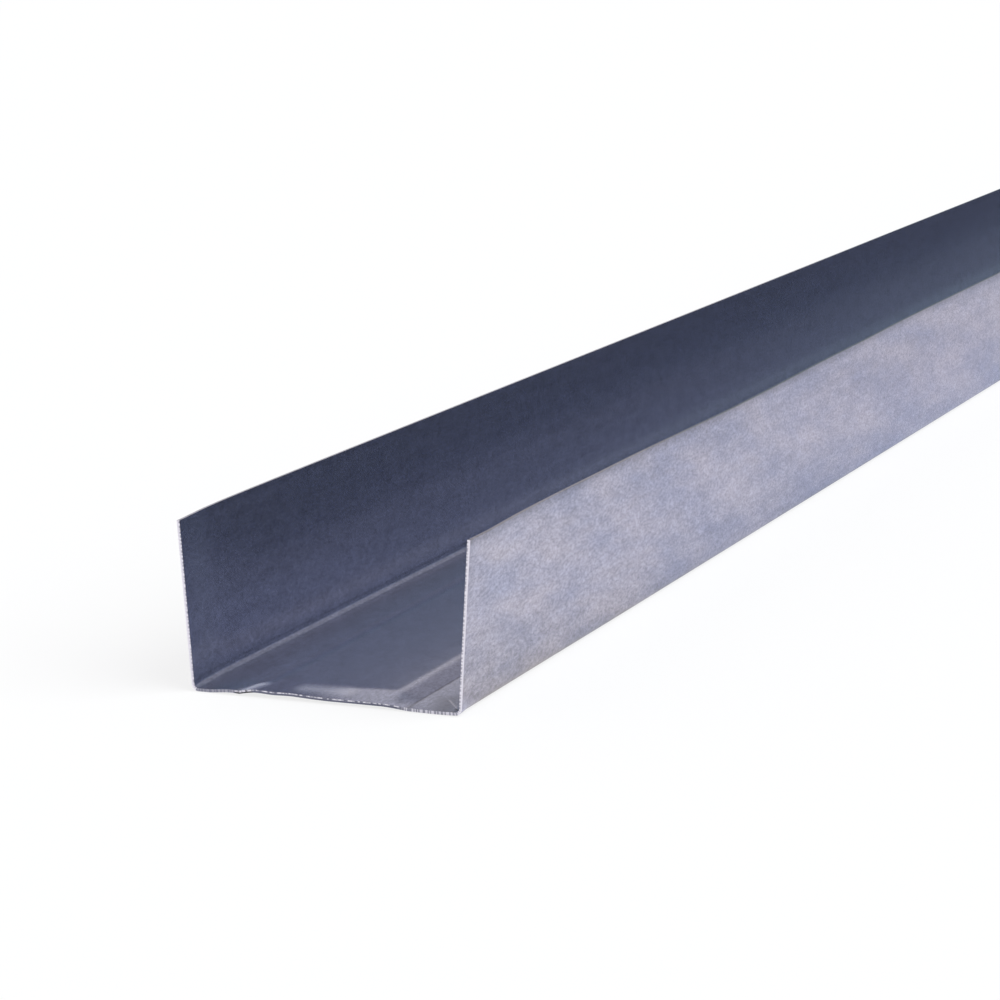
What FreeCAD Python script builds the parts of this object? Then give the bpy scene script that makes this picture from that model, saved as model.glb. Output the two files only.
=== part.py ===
"""Drywall track: a U channel rolled from one strip of galvanised sheet steel.

The track lies on its web with both legs up. X runs across the web, Y along the
length and Z up. The origin is under the middle of the web, half way along.

The section is one sheet thickness everywhere. From the middle outwards it runs
along a raised panel, over the brow of a shallow slope, down to its foot, along a
flat strip, round the bend and up a leg that opens slightly outwards.
"""

import FreeCAD, Part
import math
import os

import Sketcher
from FreeCAD import Vector

# Driving dimensions, in millimetres and degrees
SIZES = {
    "track_length": 3000.0,
    "web_width": 48.0,  # outside, between the sharp corners under the two bends
    "leg_height": 28.0,  # from the floor to the tip of a leg
    "leg_lean": 3.5,  # how far each leg opens outwards from upright
    "sheet_thickness": 0.5,
    "bend_radius": 1.2,  # inside the bend between web and leg
    "strip_width": 9.0,  # flat strip beside each leg, from the sharp corner to the foot
    "slope_width": 3.8,  # from the foot of the slope to its brow, seen from above
    "panel_rise": 0.9,  # height of the panel above the strips
    "foot_radius": 0.8,  # upper side of the crease at the foot of the slope
    "brow_radius": 10.0,  # under side of the crease at the brow of the slope
}

SIDES = {"left": -1, "right": 1}
LINES = ("outer", "inner")
RUN = ("panel", "brow", "slope", "foot", "strip", "bend", "leg")

# Radius of each arc on the outer and the inner line, as spreadsheet formulas
RADII = {
    "outer": {
        "bend": "sizes.bend_radius + sizes.sheet_thickness",
        "foot": "sizes.foot_radius + sizes.sheet_thickness",
        "brow": "sizes.brow_radius",
    },
    "inner": {
        "bend": "sizes.bend_radius",
        "foot": "sizes.foot_radius",
        "brow": "sizes.brow_radius + sizes.sheet_thickness",
    },
}

# Sharp corner of the outer line at each arc, measured from the middle of the web
CORNERS = {
    "bend": "sizes.web_width / 2",
    "foot": "sizes.web_width / 2 - sizes.strip_width",
    "brow": "sizes.web_width / 2 - sizes.strip_width - sizes.slope_width",
}

START, END, CENTRE = 1, 2, 3  # the points of a sketch element
X_AXIS = -1
ORIGIN = (-1, 1)


def make_sheet(doc):
    """A spreadsheet with one named cell for each driving dimension."""
    sheet = doc.addObject("Spreadsheet::Sheet", "sizes")
    for row, (name, value) in enumerate(SIZES.items(), start=1):
        sheet.set(f"A{row}", name)
        sheet.set(f"B{row}", str(value))
        sheet.setAlias(f"B{row}", name)
    doc.recompute()


def half_section(line):
    """Points and arcs of the right half of one line of the section, at its drawn size."""
    thickness = SIZES["sheet_thickness"]
    offset = 0.0 if line == "outer" else thickness
    slope = math.atan2(SIZES["panel_rise"], SIZES["slope_width"])
    lean = math.radians(SIZES["leg_lean"])
    bend_radius = SIZES["bend_radius"] + thickness
    foot_radius = SIZES["foot_radius"] + thickness
    brow_radius = SIZES["brow_radius"]

    right_angle = math.pi / 2
    corner_x = SIZES["web_width"] / 2
    foot_x = corner_x - SIZES["strip_width"]
    brow_x = foot_x - SIZES["slope_width"]
    bend_start = corner_x - bend_radius * math.tan((right_angle - lean) / 2)
    foot_end = foot_x + foot_radius * math.tan(slope / 2)
    brow_start = brow_x - brow_radius * math.tan(slope / 2)
    arcs = {
        "bend": {
            "centre": Vector(bend_start, bend_radius, 0),
            "radius": bend_radius - offset,
            "sweep": (-right_angle, -lean),
        },
        "foot": {
            "centre": Vector(foot_end, foot_radius, 0),
            "radius": foot_radius - offset,
            "sweep": (-right_angle - slope, -right_angle),
        },
        "brow": {
            "centre": Vector(brow_start, SIZES["panel_rise"] - brow_radius, 0),
            "radius": brow_radius + offset,
            "sweep": (right_angle - slope, right_angle),
        },
    }

    def end_of(name, which):
        arc = arcs[name]
        angle = arc["sweep"][which]
        return arc["centre"] + Vector(math.cos(angle), math.sin(angle), 0) * arc["radius"]

    leg_start = end_of("bend", 1)
    leg_rise = SIZES["leg_height"] - bend_radius + SIZES["bend_radius"] * math.sin(lean)
    leg_length = leg_rise / math.cos(lean)
    leg_end = leg_start + Vector(math.sin(lean), math.cos(lean), 0) * leg_length
    panel_end = end_of("brow", 1)
    segments = {
        "panel": (Vector(0, panel_end.y, 0), panel_end),
        "slope": (end_of("brow", 0), end_of("foot", 0)),
        "strip": (end_of("foot", 1), end_of("bend", 0)),
        "leg": (leg_start, leg_end),
    }
    return arcs, segments


def draw_section(sketch):
    """Draws the outer and inner lines and the leg tips. Returns each element's number in the sketch."""
    elements = {}
    for line in LINES:
        arcs, segments = half_section(line)
        for side, sign in SIDES.items():
            for name, arc in arcs.items():
                centre = Vector(sign * arc["centre"].x, arc["centre"].y, 0)
                first, last = arc["sweep"]
                if sign < 0:
                    first, last = math.pi - last, math.pi - first
                circle = Part.Circle(centre, Vector(0, 0, 1), arc["radius"])
                elements[line, side, name] = sketch.addGeometry(Part.ArcOfCircle(circle, first, last))
            for name in ("slope", "strip", "leg"):
                ends = [Vector(sign * end.x, end.y, 0) for end in segments[name]]
                elements[line, side, name] = sketch.addGeometry(Part.LineSegment(*ends))
        panel_end = segments["panel"][1]
        panel = sketch.addGeometry(Part.LineSegment(Vector(-panel_end.x, panel_end.y, 0), panel_end))
        elements[line, "left", "panel"] = panel
        elements[line, "right", "panel"] = panel
    for side in SIDES:
        tip_ends = [sketch.getPoint(elements[line, side, "leg"], END) for line in LINES]
        elements[side, "tip"] = sketch.addGeometry(Part.LineSegment(*tip_ends))
    return elements


def make_section(body):
    """The section, drawn on the plane across the track and held to the spreadsheet."""
    sketch = body.newObject("Sketcher::SketchObject", "section")
    plane = next(feature for feature in body.Origin.OriginFeatures if feature.Role == "XZ_Plane")
    sketch.AttachmentSupport = [(plane, "")]
    sketch.MapMode = "FlatFace"
    elements = draw_section(sketch)

    def tie(kind, *where):
        return sketch.addConstraint(Sketcher.Constraint(kind, *where))

    def size(kind, formula, drawn, *where):
        index = tie(kind, *where, drawn)
        sketch.setExpression(f"Constraints[{index}]", formula)

    def meeting_ends(one, other):
        def gap(ends):
            return sketch.getPoint(one, ends[0]).distanceToPoint(sketch.getPoint(other, ends[1]))

        return min([(a, b) for a in (START, END) for b in (START, END)], key=gap)

    # Each line runs smoothly from the panel up to the leg
    for line in LINES:
        for side in SIDES:
            chain = [elements[line, side, name] for name in RUN]
            for one, other in zip(chain, chain[1:]):
                one_end, other_end = meeting_ends(one, other)
                tie("Tangent", one, one_end, other, other_end)
            for name, formula in RADII[line].items():
                arc = elements[line, side, name]
                size("Radius", formula, sketch.Geometry[arc].Radius, arc)

    # The strips lie on the floor and the panel stands above them
    panel = elements["outer", "left", "panel"]
    tie("Horizontal", panel)
    size("DistanceY", "sizes.panel_rise", SIZES["panel_rise"], *ORIGIN, panel, START)

    for side, sign in SIDES.items():
        strip = elements["outer", side, "strip"]
        tie("Horizontal", strip)
        tie("PointOnObject", strip, START, X_AXIS)

        # Sharp corners where the straight runs of the outer line would meet
        for name, formula in CORNERS.items():
            before = elements["outer", side, RUN[RUN.index(name) - 1]]
            after = elements["outer", side, RUN[RUN.index(name) + 1]]
            arc = half_section("outer")[0][name]
            half_sweep = (arc["sweep"][1] - arc["sweep"][0]) / 2
            middle = (arc["sweep"][1] + arc["sweep"][0]) / 2
            reach = arc["radius"] / math.cos(half_sweep)
            corner_x = arc["centre"].x + reach * math.cos(middle)
            corner_z = arc["centre"].y + reach * math.sin(middle)
            corner = sketch.addGeometry(Part.Point(Vector(sign * corner_x, corner_z, 0)), True)
            tie("PointOnObject", corner, START, before)
            tie("PointOnObject", corner, START, after)
            span = [*ORIGIN, corner, START] if sign > 0 else [corner, START, *ORIGIN]
            size("DistanceX", formula, corner_x, *span)

        # The inner line shares its centres with the outer line
        for name in CORNERS:
            inner_arc = elements["inner", side, name]
            outer_arc = elements["outer", side, name]
            tie("Coincident", inner_arc, CENTRE, outer_arc, CENTRE)

        # The leg leans outwards and its tip is cut square to the sheet
        leg = elements["outer", side, "leg"]
        inner_leg = elements["inner", side, "leg"]
        tip = elements[side, "tip"]
        lean_formula = "90 - sizes.leg_lean" if sign > 0 else "90 + sizes.leg_lean"
        size("Angle", lean_formula, math.radians(90 - sign * SIZES["leg_lean"]), leg)
        tie("Parallel", leg, inner_leg)
        tie("Coincident", tip, START, leg, END)
        tie("Coincident", tip, END, inner_leg, END)
        tie("Perpendicular", tip, leg)
        size("DistanceY", "sizes.leg_height", SIZES["leg_height"], *ORIGIN, inner_leg, END)
    return sketch


def make_track(doc):
    """The whole track: its section run along the length, half to each side of the origin."""
    body = doc.addObject("PartDesign::Body", "track")
    body.Label = "track"
    body.Placement = FreeCAD.Placement()
    section = make_section(body)
    doc.recompute()
    if section.solve() != 0 or not section.FullyConstrained:
        raise RuntimeError("the section sketch is not fully constrained")
    pad = body.newObject("PartDesign::Pad", "rolled_length")
    pad.Profile = section
    pad.SideType = "Symmetric"
    pad.setExpression("Length", "sizes.track_length")
    doc.recompute()
    return body


def check(doc):
    """Stops the build if any object failed or any shape is empty or invalid."""
    for item in doc.Objects:
        if "Invalid" in item.State or "Error" in item.State:
            raise RuntimeError(f"{item.Name} failed to build: {item.State}")
        shape = getattr(item, "Shape", None)
        if item.isDerivedFrom("PartDesign::Feature") or item.isDerivedFrom("PartDesign::Body"):
            if shape.isNull() or not shape.isValid():
                raise RuntimeError(f"{item.Name} has no valid shape")


def main():
    doc = FreeCAD.newDocument("drywall_track")
    make_sheet(doc)
    track = make_track(doc)
    check(doc)
    os.makedirs("parts", exist_ok=True)
    track.Shape.exportStep(f"parts/{track.Label}.step")


main()
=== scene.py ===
"""The looks of a drywall track.

One strip of galvanised sheet steel, rolled to a U and sheared to length.
"""

import math

import bpy
from bpy.props import FloatProperty, FloatVectorProperty, IntProperty, PointerProperty
from mathutils import Matrix, Vector


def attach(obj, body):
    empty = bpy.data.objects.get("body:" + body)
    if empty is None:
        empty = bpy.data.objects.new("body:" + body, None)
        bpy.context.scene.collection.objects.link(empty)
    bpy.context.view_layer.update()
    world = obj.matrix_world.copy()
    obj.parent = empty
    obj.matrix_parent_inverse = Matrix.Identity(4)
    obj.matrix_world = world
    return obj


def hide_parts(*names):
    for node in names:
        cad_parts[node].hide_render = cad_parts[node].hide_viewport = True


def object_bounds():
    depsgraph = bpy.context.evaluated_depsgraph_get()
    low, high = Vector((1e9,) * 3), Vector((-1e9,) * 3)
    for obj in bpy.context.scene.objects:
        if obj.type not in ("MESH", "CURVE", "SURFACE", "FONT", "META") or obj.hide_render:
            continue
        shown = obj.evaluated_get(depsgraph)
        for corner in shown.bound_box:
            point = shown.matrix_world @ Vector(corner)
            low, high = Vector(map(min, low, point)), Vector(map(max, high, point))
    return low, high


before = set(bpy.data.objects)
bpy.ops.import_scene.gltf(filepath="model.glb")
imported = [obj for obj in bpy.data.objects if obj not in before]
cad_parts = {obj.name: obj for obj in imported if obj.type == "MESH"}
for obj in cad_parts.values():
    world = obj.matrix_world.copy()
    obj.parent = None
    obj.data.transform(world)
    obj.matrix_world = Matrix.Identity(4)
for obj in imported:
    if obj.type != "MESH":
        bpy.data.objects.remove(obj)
CAD_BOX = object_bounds()

bl_info = {
    "name": "Drywall track",
    "version": (1, 0, 0),
    "blender": (4, 5, 0),
    "location": "View3D > Sidebar > Track",
    "description": "Rolls a drywall track from galvanised sheet and sets it on a pale floor",
    "category": "Object",
}

NODE = "track"
BODY = "root"
MM = 0.001

# Across the unrolled strip from its middle, and along it from the near end, in metres
SHEET_MAP = "sheet_uv"
# 0 on the side inside the channel, 1 on the outside
THROUGH = "through"

# Steps of the section: the flat runs of half the web from its middle, each arc, and a leg
RUN_STEPS = (20, 5, 16)
ARC_STEPS = 8
LEG_STEPS = 8
# How strongly the stations crowd towards the ends, and the share that is spread evenly
CROWDING = 2.6
EVEN_SHARE = 0.03
# A rim face is on a cut end from this share of its normal along the track,
# and an edge is sharp from this angle
END_FACING = 0.7
SHARP_ANGLE = math.radians(40)

# Bends of the legs beside the near end, in millimetres:
# distance from the end, and move to the right at the tip
RIGHT_LEG_BENDS = (
    (0, 0.75),
    (5, 0.77),
    (14, 0.4),
    (23, 0.05),
    (34, -0.12),
    (54, -0.25),
    (70, -0.33),
    (88, -0.1),
    (101, 0.1),
    (114, 0.3),
    (128, 0.22),
    (142, 0.05),
    (157, -0.25),
    (180, -0.6),
    (206, -0.75),
    (225, -1.1),
    (300, -0.9),
    (500, 0.0),
)
LEFT_LEG_BENDS = (
    (0, 0.5),
    (6, 0.2),
    (14, -0.15),
    (22, -0.33),
    (40, -0.4),
    (250, -0.3),
    (500, 0.0),
)
# The widest move that a leg's curve can hold, in millimetres
MOST_SWING = 5
# Height over which a leg starts to swing
SWING_FOOT = 2 * MM
# Spacing of the legs' slow waves, and where they set in, from the near end
WAVE_SPACING = 0.18
WAVES_FROM = (0.3, 0.5)

# Lengths from the near end over which the shear squeezed the bends, pushed a corner and evened a slope
SQUEEZED_LENGTH = 3 * MM
PUSHED_LENGTH = 11 * MM
EVENED_LENGTH = 7 * MM
# The push grows over this range beside the legs
PUSHED_ACROSS = (20 * MM, 23 * MM)
# The lifted right of the web: where it grows across, where its strip is hollow,
# and where it runs out along the length
LIFTED_ACROSS = (-10 * MM, 8 * MM)
HOLLOW_ACROSS = (15 * MM, 23 * MM)
HOLLOW_LEVELS = (1.0, -0.78)
LIFTED_ALONG = (25 * MM, 70 * MM)
# The fold: where its line runs out on the left and the share of its length there, and where it flattens
FOLD_ACROSS = (-17 * MM, -4 * MM)
FOLD_LEAST = 0.3
PRESSED_ACROSS = (-13 * MM, 2 * MM)
PRESSED_END = (15 * MM, 20 * MM)
# The evened slope: middle across and move up, for its foot and its brow, and how far each reaches
EVENED_SLOPE = ((-16.5 * MM, 0.3 * MM), (-9.5 * MM, -0.25 * MM))
EVENED_REACH = 4.5 * MM
# The bulge on that slope: its middle, the inverse of its reach across and along, and its height
BULGE_PLACE = (-13 * MM, 2.5 * MM, 0)
BULGE_SCALE = (1 / (2.8 * MM), 1 / (4.5 * MM), 0)
BULGE_HEIGHT = 0.25 * MM

# Painted shade, painted highlights and a few dark lines and spots on the upper side: two points across
# and along from the near end, in millimetres, the width, the strength, and the colour that each turns the
# zinc to
BEFORE = -1.0
BEYOND = 3001.0
DARK = "000000"
PALE = "E5E6F3"
PAINTED_LIGHT_AND_MARKS = (
    # Painted shade along the left strip
    ((-20.0, BEFORE), (-20.0, BEYOND), 5.5, 0.23, DARK),
    # Painted highlight on the left slope, beside its brow
    ((-12.2, 6.0), (-12.2, BEYOND), 3.2, 0.12, PALE),
    # Painted highlight over the panel
    ((3.0, 14.0), (3.0, BEYOND), 16.0, 0.15, PALE),
    # A dark line along the crease at the foot of the right slope
    ((15.1, BEFORE), (15.1, BEYOND), 0.45, 0.4, DARK),
    # Painted shade along the foot of the left leg, just above the bend
    ((-24.9, BEFORE), (-24.9, BEYOND), 0.4, 0.2, DARK),
    # Painted shade on the right strip beside the near end
    ((19.3, 7.0), (20.3, 1.0), 3.8, 0.34, DARK),
    # Small dark spots by the right corner at the cut
    ((22.3, 1.8), (22.5, 1.2), 0.6, 0.75, DARK),
    ((22.0, 0.2), (22.4, 0.0), 0.6, 0.65, DARK),
    # Painted shadow beside the burr at the cut
    ((-15.7, 0.3), (-15.3, 0.9), 0.6, 0.6, DARK),
)
# A scratch and two painted highlights on the upper side, the same way: they scatter light as well
SCUFFS_AND_PAINTED_HIGHLIGHTS = (
    # A bright scratch on the right strip by the near end
    ((19.4, 6.2), (22.5, 2.0), 0.35, 0.5, "DFE0EC"),
    # Painted highlight on the bulge of the left slope
    ((-12.9, 3.0), (-14.0, 0.5), 2.5, 0.9, "F0F1FF"),
    # Painted reflection: a lighter left end of the part the shear flattened
    ((-4.4, 3.0), (2.5, 3.3), 3.2, 0.5, PALE),
)

# What the steel mirrors, in painted shade. The open floor close to the near end and darker far from it,
# by distance in metres
OPEN_FLOOR_RANGE = (0.04, 0.3)
OPEN_FLOOR_SHADE_TONES = ("FFFCFA", "E6E2E6")
# Painted contact shadow on the floor close beside the right leg, seen only in the steel: the range aside,
# and the tones along a stretch from the near end
CLOSE_FLOOR_ASIDE = (25 * MM, 46 * MM)
CLOSE_FLOOR_STRETCH = 0.3
CLOSE_FLOOR_SHADOW_TONES = ((0.1, "DDD8CD"), (0.43, "D0D2D7"), (1.0, "D6D8DF"))
CLOSE_FLOOR_START = 0.01
# Painted shade on the floor farther out on the right, seen only in the steel, by its range aside
OUTER_FLOOR_ASIDE = (48 * MM, 70 * MM)
OUTER_FLOOR_SHADE_TONE = "E8ECEF"
# The room, by degrees above the horizon, and the wall behind on the left
ROOM_TONES = (
    (6, "9B9EA2"),
    (11, "91A2A6"),
    (15, "91A2A6"),
    (20, "B7AFB6"),
    (27, "AFAAAF"),
    (90, "9BA4A8"),
)
WALL_ASIDE = (-0.36, -0.31)
WALL_TONE = "E6DFDF"
WHITE = "FFFFFF"

# The photograph's view, fitted to the track's long edges and near corners:
# degrees, millimetres of lens, and metres from the middle of the near end
VIEW_TURN = 24.9383
VIEW_TIP = 90 - 11.8494
VIEW_ROLL = -1.8455
VIEW_LENS = 106.45
VIEW_PLACE = (0.215782, -0.39535, 0.126086)


def linear(hex_colour):
    """An sRGB hex colour as linear red, green and blue."""
    levels = [int(hex_colour[i : i + 2], 16) / 255 for i in (0, 2, 4)]
    return tuple(v / 12.92 if v <= 0.04045 else ((v + 0.055) / 1.055) ** 2.4 for v in levels)


def add_node(tree, kind, inputs=None, **settings):
    """Adds a node with its settings and gives its outputs.

    An input takes a value or another node's output.
    """
    node = tree.nodes.new(kind)
    for name, value in settings.items():
        setattr(node, name, value)
    for socket, source in (inputs or {}).items():
        if isinstance(source, bpy.types.NodeSocket):
            tree.links.new(source, node.inputs[socket])
        else:
            node.inputs[socket].default_value = source
    return node.outputs


class TrackSizes(bpy.types.PropertyGroup):
    """Sizes of the rolled section and of the marks that rolling and shearing leave."""

    track_length: FloatProperty(
        name="Length",
        description="Stock length",
        default=CAD_BOX[1][1] - CAD_BOX[0][1],
        unit="LENGTH",
    )
    web_width: FloatProperty(
        name="Web",
        description="Outside, between the sharp corners under the bends",
        default=48 * MM,
        unit="LENGTH",
    )
    leg_height: FloatProperty(
        name="Leg",
        description="From the floor to the tip of a leg",
        default=CAD_BOX[1][2] - CAD_BOX[0][2],
        unit="LENGTH",
    )
    leg_lean: FloatProperty(
        name="Lean",
        description="How far each leg opens outwards",
        default=math.radians(3.5),
        subtype="ANGLE",
    )
    sheet_thickness: FloatProperty(
        name="Sheet",
        description="Sheet thickness",
        default=0.5 * MM,
        unit="LENGTH",
    )
    bend_radius: FloatProperty(
        name="Bend radius",
        description="Inside the bend between web and leg",
        default=1.2 * MM,
        unit="LENGTH",
    )
    strip_width: FloatProperty(
        name="Strip",
        description="Flat strip beside each leg, from the sharp corner",
        default=9 * MM,
        unit="LENGTH",
    )
    slope_width: FloatProperty(
        name="Slope",
        description="From the foot of the slope to its brow",
        default=3.8 * MM,
        unit="LENGTH",
    )
    panel_rise: FloatProperty(
        name="Panel rise",
        description="Height of the panel above the strips",
        default=0.9 * MM,
        unit="LENGTH",
    )
    foot_radius: FloatProperty(
        name="Foot radius",
        description="Upper side of the crease at the foot of the slope",
        default=0.8 * MM,
        unit="LENGTH",
    )
    brow_radius: FloatProperty(
        name="Brow radius",
        description="Under side of the crease at the brow of the slope",
        default=10 * MM,
        unit="LENGTH",
    )
    pressed_share: FloatProperty(
        name="Pressed share",
        description="How much of the panel's rise the shear flattened at the near end",
        default=0.6,
        subtype="FACTOR",
    )
    pressed_length: FloatProperty(
        name="Pressed length",
        description="From the near end to the fold of the flattened part",
        default=5.4 * MM,
        unit="LENGTH",
    )
    cut_radius: FloatProperty(
        name="Cut bend radius",
        description="Inside the bends at the near end, where the shear squeezed them",
        default=0.7 * MM,
        unit="LENGTH",
    )
    left_push: FloatProperty(
        name="Left push",
        description="How far the shear pushed the left corner to the right at the near end",
        default=0.35 * MM,
        unit="LENGTH",
    )
    right_push: FloatProperty(
        name="Right push",
        description="How far the right corner stands out over the whole length",
        default=0.28 * MM,
        unit="LENGTH",
    )
    strip_lift: FloatProperty(
        name="Strip lift",
        description="How far the right strip lifts at the foot of the slope, beside the near end",
        default=0.12 * MM,
        unit="LENGTH",
    )
    wave: FloatProperty(
        name="Waves",
        description="Sideways swing of the legs' long slow waves",
        default=0.4 * MM,
        unit="LENGTH",
    )
    stations: IntProperty(
        name="Stations",
        description="Sections along the length",
        default=261,
        min=21,
    )


class TrackFinish(bpy.types.PropertyGroup):
    """Colours of the zinc and of the sheared edges."""

    zinc_blue: FloatVectorProperty(
        name="Bluish zinc",
        description="Cooler patches of the zinc",
        subtype="COLOR",
        default=linear("A1A3B9"),
    )
    zinc_lilac: FloatVectorProperty(
        name="Lilac zinc",
        description="Warmer, paler patches of the zinc",
        subtype="COLOR",
        default=linear("B9B5C3"),
    )
    # Partly painted shade: the even zinc inside the channel is set a little darker than the outside
    zinc_inside_shaded: FloatVectorProperty(
        name="Zinc inside",
        description="Even zinc inside the channel",
        subtype="COLOR",
        default=linear("9AA0B6"),
    )
    sheared: FloatVectorProperty(
        name="Sheared steel",
        description="Bright, burnished part of a cut edge",
        subtype="COLOR",
        default=linear("E6E4EE"),
    )
    torn: FloatVectorProperty(
        name="Torn steel",
        description="Dark, torn part of a cut edge",
        subtype="COLOR",
        default=linear("76798C"),
    )


def section_line(sizes, bend_radius):
    """Points along the middle of the sheet, from the left leg's tip to the right leg's tip."""
    thickness = sizes.sheet_thickness
    slope = math.atan2(sizes.panel_rise, sizes.slope_width)
    lean = sizes.leg_lean
    quarter = math.pi / 2
    bend = bend_radius + thickness
    foot = sizes.foot_radius + thickness
    brow = sizes.brow_radius
    corner_x = sizes.web_width / 2
    foot_x = corner_x - sizes.strip_width
    brow_x = foot_x - sizes.slope_width
    brow_centre = (brow_x - brow * math.tan(slope / 2), sizes.panel_rise - brow)
    foot_centre = (foot_x + foot * math.tan(slope / 2), foot)
    bend_centre = (corner_x - bend * math.tan((quarter - lean) / 2), bend)
    # Centre, radius to the middle of the sheet, first and last angle
    creases = (
        (brow_centre, brow + thickness / 2, quarter, quarter - slope),
        (foot_centre, foot - thickness / 2, -quarter - slope, -quarter),
        (bend_centre, bend - thickness / 2, -quarter, -lean),
    )
    half = [Vector((0, 0, sizes.panel_rise + thickness / 2))]
    for ((x, z), radius, first, last), run_steps in zip(creases, RUN_STEPS):
        angles = [first + (last - first) * k / ARC_STEPS for k in range(ARC_STEPS + 1)]
        arc = [Vector((x + radius * math.cos(a), 0, z + radius * math.sin(a))) for a in angles]
        start = half[-1]
        half += [start.lerp(arc[0], k / run_steps) for k in range(1, run_steps)]
        half += arc
    leg_length = (sizes.leg_height - bend + bend_radius * math.sin(lean)) / math.cos(lean)
    leg_foot = half[-1]
    tip = leg_foot + Vector((math.sin(lean), 0, math.cos(lean))) * leg_length
    half += [leg_foot.lerp(tip, k / LEG_STEPS) for k in range(1, LEG_STEPS + 1)]
    return [Vector((-p.x, 0, p.z)) for p in reversed(half[1:])] + half


def from_section(tree, section, column, name, kind):
    """A value that is stored on the section, for each column's point of it."""
    stored = add_node(tree, "GeometryNodeInputNamedAttribute", {"Name": name}, data_type=kind)[0]
    return add_node(
        tree,
        "GeometryNodeSampleIndex",
        {"Geometry": section, "Value": stored, "Index": column},
        data_type=kind,
    )[0]


def leg_swing(tree, near, bends):
    """Sideways move at a leg's tip, from the bends listed beside the near end."""
    span = bends[-1][0]
    part = add_node(tree, "ShaderNodeMath", {0: near, 1: span * MM}, operation="DIVIDE")[0]
    curve = add_node(tree, "ShaderNodeFloatCurve", {"Value": part})[0]
    mapping = curve.node.mapping
    points = mapping.curves[0].points
    for k, (distance, move) in enumerate(bends):
        spot = (distance / span, 0.5 + move / (2 * MOST_SWING))
        if k < 2:
            points[k].location = spot
        else:
            points.new(*spot)
    mapping.extend = "HORIZONTAL"
    mapping.update()
    return add_node(
        tree,
        "ShaderNodeMapRange",
        {"Value": curve, "To Min": -MOST_SWING * MM, "To Max": MOST_SWING * MM},
    )[0]


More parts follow.
